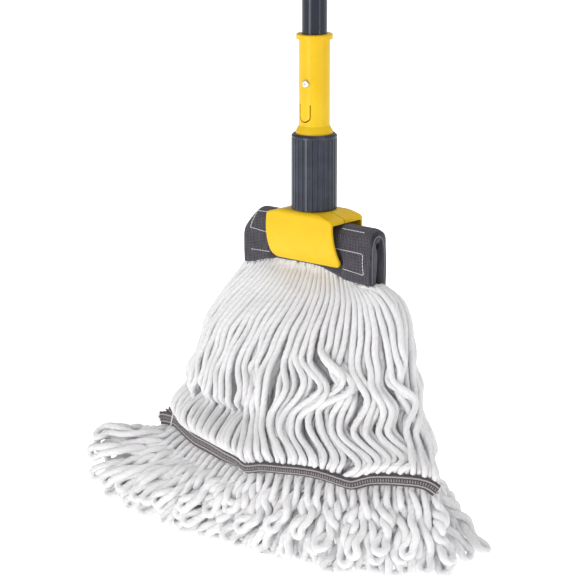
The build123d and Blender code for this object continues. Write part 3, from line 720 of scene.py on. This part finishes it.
def settle(lines):
    """Push the middle lines of the fringe apart in space and keep them on the floor."""
    strands, steps = lines.shape[:2]
    target = lines.copy()
    owner = np.repeat(np.arange(strands), steps)
    freedom = ease((np.arange(steps) - 0.5) / 5.0)[None, :, None]
    for _ in range(SETTLE_ROUNDS):
        flat = lines.reshape(-1, 3).astype(np.float32)
        move = np.zeros_like(flat)
        for begin in range(0, len(flat), CHUNK):
            some = flat[begin:begin + CHUNK]
            gap = some[:, None] - flat[None]
            distance = np.sqrt((gap ** 2).sum(-1)) + 1e-3
            same = owner[begin:begin + CHUNK][:, None] == owner[None]
            push = np.where(same, 0, np.clip(2 * FRINGE_APART - distance, 0, None)) / distance
            move[begin:begin + CHUNK] = (gap * push[..., None]).sum(1) * 0.22
        shift = np.clip(move.reshape(lines.shape), -2.0, 2.0)
        lines = lines + freedom * (shift + 0.03 * (target - lines))
        lines[:, 1:-1] = 0.15 * lines[:, :-2] + 0.7 * lines[:, 1:-1] + 0.15 * lines[:, 2:]
        lines[..., 2] = np.maximum(lines[..., 2], FRINGE_APART + 0.3)
    return lines


def loop_path(left, right, line, outward, rng):
    """One length of yarn: down a strand, round the loop at its end and back up its neighbour."""
    middle = resampled(line, LOOP_STEPS)
    ahead = unit(np.gradient(middle, axis=0))
    wide = unit(np.cross(ahead, outward))
    deep = np.cross(wide, ahead)
    t = np.linspace(0, 1, LOOP_STEPS)
    # the two strands twist round each other by some half turns, and open into the loop
    apart = 0.5 * (left[-1] - right[-1])
    start = math.atan2(apart @ deep[0], apart @ wide[0])
    end = math.pi * round(start / math.pi) + rng.uniform(-0.6, 0.6) + math.pi * rng.choice([2, 3, 4])
    angle = start + (end - start) * ease(t / 0.9)
    reach = np.linalg.norm(apart) * (1 - ease(t / 0.22)) + PAIR_R * ease(t / 0.22)
    reach = reach + LOOP_SWELL * ease((t - 0.84) / 0.14)
    offset = reach[:, None] * (np.cos(angle)[:, None] * wide + np.sin(angle)[:, None] * deep)
    cap = np.linspace(0, math.pi, 10)[1:-1, None]
    top = middle[-1] + np.cos(cap) * offset[-1] + np.sin(cap) * np.linalg.norm(offset[-1]) * ahead[-1]
    down = np.vstack([left, middle[1:] + offset[1:]])
    up = np.vstack([right, middle[1:] - offset[1:]])[::-1]
    return np.vstack([down, top, up])


def build_yarns(material):
    """Both curtains, as groups of looped yarns. Returns the pieces of each side, and its band's line."""
    bands = {-1: spline(FRONT_BAND, LINE_STEPS), 1: spline(REAR_BAND, LINE_STEPS)}
    front, front_out, s = curtain(-1, FRONT_BAND, SEED)
    rear, rear_out, _ = curtain(1, REAR_BAND, SEED + 1)
    both = np.concatenate([front, rear])
    own = {-1: slice(0, YARNS), 1: slice(YARNS, 2 * YARNS)}
    holds = [behind_band(bands[side], side, own[side]) for side in (-1, 1)]

    def held(points):
        for hold in holds:
            hold(points)

    both = push_apart(both, strand_radius(both[..., 2]) * PRESSED, held)
    made = {}
    normals = {-1: front_out[:, -1], 1: rear_out[:, -1]}
    lines = []
    for side, tips_at in ((-1, FRONT_TIPS), (1, REAR_TIPS)):
        strands = both[own[side]]
        exits = 0.5 * (strands[0::2, -1] + strands[1::2, -1])
        outward = unit(normals[side][0::2] + normals[side][1::2])
        lines.append(fringe_lines(exits, outward, tips_at, s[0::2], SEED + 5 + side))
    lines = settle(np.concatenate(lines))
    rng = np.random.default_rng(SEED + 9)
    for side, name in ((-1, "front"), (1, "rear")):
        strands = both[own[side]]
        first = 0 if side < 0 else YARNS // 2
        paths, radii = [], []
        for pair in range(YARNS // 2):
            outward = unit(normals[side][2 * pair])
            path = loop_path(strands[2 * pair], strands[2 * pair + 1], lines[first + pair], outward, rng)
            path = resampled(smoothed(path, 1), YARN_STEPS)
            path[:, 2] = np.maximum(path[:, 2], YARN_LOW)
            path[:, 0] = np.maximum(path[:, 0], YARN_LEFT)
            paths.append(path)
            radii.append(strand_radius(path[:, 2]) * rng.uniform(0.95, 1.05))
        paths, radii = np.array(paths), np.array(radii)
        made[side] = [
            bundle_of_tubes(f"{name}_yarn_group_{k + 1}", paths[group], radii[group], material,
                            sides=12, lobes=YARN_PLIES, lobe_depth=0.035, pitch=30.0)
            for k, group in enumerate(np.array_split(np.arange(YARNS // 2), GROUPS))
        ]
    return made, bands


# ------------------------------------------------------------------ the tail band

TAPE_WIDE, TAPE_THICK = 13.2, 1.1
TAPE_EDGE = 0.35  # how far the rounded edge stands past the faces
DENT_DEPTH, DENT_PITCH = 0.3, 7.8  # from the yarns behind the tape
# how wide the tape looks across its cupped face, along its length
CUPPED = ((0, 0.35, 0.45, 0.62, 0.8, 1), (1.0, 1.0, 0.78, 0.80, 0.87, 0.94))


def tape_line(side, band):
    """Middle line of a whole tape: its cut end at the left, then round the mop to the right."""
    end = FRONT_END if side < 0 else REAR_END
    return resampled(smoothed(spline([*end, *band[2::6]], 260), 2), 240)


def tape_along(name, middle, side, material):
    """A woven tape standing on edge along a line, dented a little by the yarns behind it."""
    stations = len(middle)
    forward = unit(np.gradient(middle, axis=0))
    outward = right_of(forward)
    outward = unit(outward) * np.sign((outward[stations // 2, 1] * side) or 1)
    up = unit(np.cross(forward, outward))
    up *= np.sign(up[:, 2:3])
    length = along_path(middle)
    wide = TAPE_WIDE * np.interp(length / length[-1], *CUPPED)
    cup = 0.45 * np.sqrt(TAPE_WIDE ** 2 - wide ** 2)
    dents = DENT_DEPTH * np.sin(math.tau * length / DENT_PITCH)
    across = np.linspace(-0.5, 0.5, 9)
    front, back = [], []
    for y in across:
        swell = dents * (1 - (2 * y) ** 4) + cup * (0.55 - (2 * y) ** 2)
        line = middle + up * (y * wide)[:, None] + outward * swell[:, None]
        front.append(line + outward * (0.5 * TAPE_THICK))
        back.append(line - outward * (0.5 * TAPE_THICK))
    reach = (0.5 * wide + TAPE_EDGE)[:, None]
    edge = middle - outward * (0.45 * cup)[:, None]
    ring = [edge - up * reach, *front, edge + up * reach, *back[::-1]]
    share = np.concatenate([[0], across + 0.5, [1], (across + 0.5)[::-1], [0]])
    sections = np.stack(ring, axis=1)
    uvs = [[(u, x * MM) for u in share] for x in length]
    return skin(name, sections, material, uvs)


TAPER = np.array([1, 1, 0.95, 0.9, 0.8, 0.6])  # of a loose thread towards its tip


def loose_threads(name, threads, radius, material):
    radii = np.tile(radius * TAPER, (len(threads), 1))
    return bundle_of_tubes(name, np.array(threads), radii, material, sides=6)


def tuft(at, direction, rng, count=16, length=7.0):
    """Frayed threads fanning out of a cut end of tape."""
    threads = []
    for _ in range(count):
        root = at + rng.uniform(-1, 1, 3) * (0.8, 0.8, 3.2)
        lean = unit(direction + rng.uniform(-0.55, 0.55, 3))
        t = np.linspace(0, 1, 6)[:, None]
        curl = rng.uniform(-1, 1, 3) * 1.6
        threads.append(root + lean * length * rng.uniform(0.5, 1.0) * t + curl * t ** 2)
    return threads


def build_tail_bands(bands, tape, thread):
    """The two tapes, the frayed ends that stick out at the left, and the bar of thread there."""
    rng = np.random.default_rng(SEED + 30)
    made, threads, length = {}, [], {}
    for side, name in ((-1, "front"), (1, "rear")):
        middle = tape_line(side, bands[side])
        length[side] = along_path(middle)[-1] * MM
        made[side] = tape_along(f"tail_tape_{name}", middle, side, tape)
        threads += tuft(middle[1], unit(middle[0] - middle[6]), rng)
        threads += tuft(middle[-2], unit(middle[-1] - middle[-7]), rng, 8, 4.0)
    fray = loose_threads("tape_fray", threads, 0.42, tape)
    seam = np.array(FRONT_BAND[0], float)
    outward = np.array([-0.5, -0.87, 0])
    half = 0.5 * TAPE_WIDE + 0.8
    bar = np.array([seam + outward * 1.2 + (0.35 * z, -0.1 * z, z) for z in np.linspace(-half, half, 9)])
    bar_tack = bundle_of_tubes("tape_bar_tack", bar[None], np.full((1, 9), 0.8), thread, sides=8)
    return made, fray, bar_tack, length


# ------------------------------------------------------------------ the headband

HEAD_HALF, HEAD_LOW, HEAD_TOP = 82.0, 275.0, 332.0
HEAD_SIDE = 12.6  # half its thickness where it stands free
SQUEEZE_FROM, SQUEEZE_TO = 42.5, 49.5  # the jaws let go between these places along X
SQUEEZED_TOP = 328.6
HEAD_WAVE = ripple(np.random.default_rng(SEED + 20), 6, 0.5, 3.0)


def head_free(x):
    """0 where the jaws squeeze the headband, 1 where it stands free."""
    return ease((abs(x) - SQUEEZE_FROM) / (SQUEEZE_TO - SQUEEZE_FROM))


def head_top(x):
    """Height of the fold: the corner at the left end is tucked down, the right end droops a little."""
    top = HEAD_TOP - 17.0 * np.clip((-x - 65) / 17, 0, 1) ** 1.3
    top -= (3.3 if x > 0 else 0.0) + 2.0 * np.clip((x - 75) / 7, 0, 1) ** 2
    return top * head_free(x) + SQUEEZED_TOP * (1 - head_free(x))


def head_low(x):
    """Height of the lower edge of the front, which is drawn up under the jaws."""
    return 283.5 - 8.5 * (ease((-x - 42) / 42) if x < 0 else ease((x - 8) / 50))


def rear_drop(x):
    """How much lower the rear flap hangs than the front one."""
    return 6.0 * ease((abs(x) - 46) / 20)


def cloth_half(x, z):
    """Half the thickness of the folded headband at a place along X and a height."""
    free, top = head_free(x), head_top(x)
    rise = np.clip((z - (top - 13)) / 13, 0, 1)
    open_half = HEAD_SIDE * (1 - rise ** 2.3) ** (1 / 2.3)
    open_half = open_half + (0.35 * HEAD_WAVE(x / 60, z / 60) + 0.9 * bell((z - 292) / 16)) * (1 - rise)
    tight_half = np.interp(z, (279, 284, 291, 308, 320, SQUEEZED_TOP), (10.5, 7.5, 6.2, 14.5, 14.5, 5.0))
    return free * open_half + (1 - free) * tight_half


def head_section(x):
    """Closed end view of the folded cloth at a place along X, points in order round it."""
    free, top, low = head_free(x), head_top(x), head_low(x)
    share = 1 - (1 - np.linspace(0, 1, 26)) ** 1.5
    z = low + (top - low) * share
    half = cloth_half(x, z)
    half[-1] = 0.0
    drop = rear_drop(x)
    # the eye inside the fold: heights, and how far it opens to each side
    eye_z = np.array([low, 286, 292, 300, 307, 311.0, 313.5, 317, 319.5, 321.0])
    eye_z[1:] -= (HEAD_TOP - top) * np.linspace(0.2, 1, 9) * free
    gap_open = np.array([3.2, 2.0, 1.4, 1.1, 1.1, 1.9, 3.3, 3.6, 2.6, 0.0])
    gap = gap_open * free + np.array([0.7] * 9 + [0]) * (1 - free)
    ring = [(-h, c) for h, c in zip(half, z)]
    ring += [(h, c - drop * (1 - u) ** 2) for h, c, u in zip(half[::-1][1:], z[::-1][1:], share[::-1][1:])]
    ring += [(half[0] - 1.2, low - drop - 1.2), (gap[0] + 1.2, low - drop - 1.2)]
    ring += [(gap[0], low - drop)] + [(g, c) for g, c in zip(gap[1:], eye_z[1:])]
    ring += [(-g, c) for g, c in zip(gap[::-1][1:], eye_z[::-1][1:])]
    ring += [(-gap[0] - 1.2, low - 1.2), (-half[0] + 1.2, low - 1.2)]
    return np.array(ring)


def build_headband(material):
    stations = np.concatenate([np.linspace(-HEAD_HALF, -SQUEEZE_FROM, 30),
                               np.linspace(-SQUEEZE_FROM + 4, SQUEEZE_FROM - 4, 8),
                               np.linspace(SQUEEZE_FROM, HEAD_HALF, 30)])
    sections, uvs = [], []
    for x in stations:
        ring = head_section(x)
        sections.append(np.column_stack([np.full(len(ring), x), ring]))
        uvs.append([(x * MM, reach * MM) for reach in along_path(np.vstack([ring, ring[:1]]))])
    return skin("headband_cloth", np.array(sections), material, uvs)


def build_bindings(material):
    """Piping along the cut edges at both ends of the headband, an arch over the round eye."""
    paths = []
    for end in (-1, 1):
        arch = np.array([(-9.2, 275), (-9.4, 292), (-9.3, 306), (-8.4, 316), (-5.4, 323.5), (0, 326.2),
                         (5.4, 323.5), (8.4, 316), (9.3, 306), (9.4, 290), (9.2, 271)], float)
        tall = head_top(end * HEAD_HALF) - HEAD_LOW
        arch[:, 1] = HEAD_LOW + (arch[:, 1] - HEAD_LOW) * tall / (HEAD_TOP - HEAD_LOW)
        paths.append(spline(np.column_stack([np.full(len(arch), end * (HEAD_HALF + 0.2)), arch]), 80))
    return bundle_of_tubes("end_piping", np.array(paths), np.full((2, 80), 0.6), material, sides=10)


STITCH_LONG, STITCH_GAP, STITCH_R = 2.9, 0.5, 0.42
STITCH_SHAPE = np.array([0.6, 0.9, 1, 1, 1, 0.9, 0.6])


def stitches(name, routes, material):
    """Thread laid in short raised stitches along routes, each an array of points."""
    paths = []
    for line in routes:
        reach = along_path(line)[-1]
        count = int(reach // (STITCH_LONG + STITCH_GAP))
        for k in range(count):
            begin = k * reach / count
            paths.append(path_at(line, np.linspace(begin, begin + STITCH_LONG, len(STITCH_SHAPE))))
    radii = np.tile(STITCH_R * STITCH_SHAPE, (len(paths), 1))
    return bundle_of_tubes(name, np.array(paths), radii, material, sides=6)


def on_cloth(route, side):
    """A route over the face of the headband, from corners (x, z), standing just proud of it."""
    x, z = resampled(np.array(route, float), 40).T
    half = np.array([float(cloth_half(a, b)) for a, b in zip(x, z)])
    return np.column_stack([x, side * (half + 0.2), z])


def build_head_stitching(material):
    """White seams: a box at each end of both faces, and one along the fold."""
    seams = [
        [(38.0, 305.6), (73.0, 304.4), (74.2, 283.4), (47.0, 286.4)],
        [(-48.0, 289.3), (-73.0, 288.4)],
        [(-44.0, 308.4), (-73.6, 310.7), (-66.5, 328.4), (-51.0, 329.0)],
        [(44.0, 325.6), (57.0, 325.6), (73.0, 325.4)],
    ]
    routes = [on_cloth(seam, side) for side in (-1, 1) for seam in seams]
    return stitches("headband_stitching", routes, material)


FRAY_THREADS = 190


def build_head_fray(material):
    """Dark threads pulled out of the lower edge of the headband."""
    rng = np.random.default_rng(SEED + 40)
    threads = []
    for _ in range(FRAY_THREADS):
        x = rng.choice([-1, 1]) * rng.uniform(46, 81)
        side = rng.choice([-1, 1])
        z = head_low(x) - (rear_drop(x) if side > 0 else 0)
        root = np.array([x, side * (cloth_half(x, head_low(x)) - rng.uniform(0.6, 5)), z + 0.6])
        lean = unit(np.array([rng.uniform(-0.7, 0.7), side * rng.uniform(-0.1, 0.5), -1.0]))
        t = np.linspace(0, 1, 6)[:, None]
        threads.append(root + lean * rng.uniform(1.8, 4.2) * t + rng.uniform(-1.2, 1.2, 3) * t ** 2)
    return loose_threads("headband_fray", threads, 0.3, material)


# ------------------------------------------------------------------ putting it together

add_camera()
add_studio()
add_floor()

COTTON = cotton_finish()
FINISHES = {
    "yellow_plastic": yellow_finish("yellow_plastic"),
    "cap_plastic": yellow_finish("cap_plastic"),
    "collar_plastic": moulded_finish("collar_plastic", (0.026, 0.030, 0.050), 0.24, 0.00001),
    "black_plastic": moulded_finish("black_plastic", (0.020, 0.020, 0.022), 0.5),
    "grip_rubber": moulded_finish("grip_rubber", (0.028, 0.030, 0.038), 0.68, 0.00012),
    "bright_steel": steel_finish(),
    "pole_paint": pole_finish(),
    "band_mesh": mesh_cloth_finish(),
    "tail_tape": tape_finish(),
    "cotton_yarn": COTTON,
}
PIPING = thread_finish("piping_cord", (0.15, 0.155, 0.19))
THREAD = thread_finish("sewing_thread", (0.80, 0.79, 0.80))

for part in frame["record"]["subparts"]:
    solid = frame["nodes"][part["node"]]
    solid.data.materials.clear()
    solid.data.materials.append(FINISHES[part["material_slot"]])


def attach(piece, node=None):
    """A piece goes with the clamp, and may stand in for a node of the CAD."""
    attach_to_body(piece, "clamp")
    if node:
        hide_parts(node)


yarns, band_lines = build_yarns(COTTON)
for side, node in ((-1, "yarns_front"), (1, "yarns_rear")):
    for piece in yarns[side]:
        attach(piece, node)

tapes, fray, bar_tack, tape_lengths = build_tail_bands(band_lines, FINISHES["tail_tape"], THREAD)
attach(fray)
attach(bar_tack)
for side, node in ((-1, "tail_band_front"), (1, "tail_band_rear")):
    attach(tapes[side], node)

headband = build_headband(FINISHES["band_mesh"])
attach(headband, "headband")
piping = build_bindings(PIPING)
attach(piping, "end_binding")
head_stitching = build_head_stitching(THREAD)
attach(head_stitching)
head_fray = build_head_fray(FINISHES["band_mesh"])
attach(head_fray)
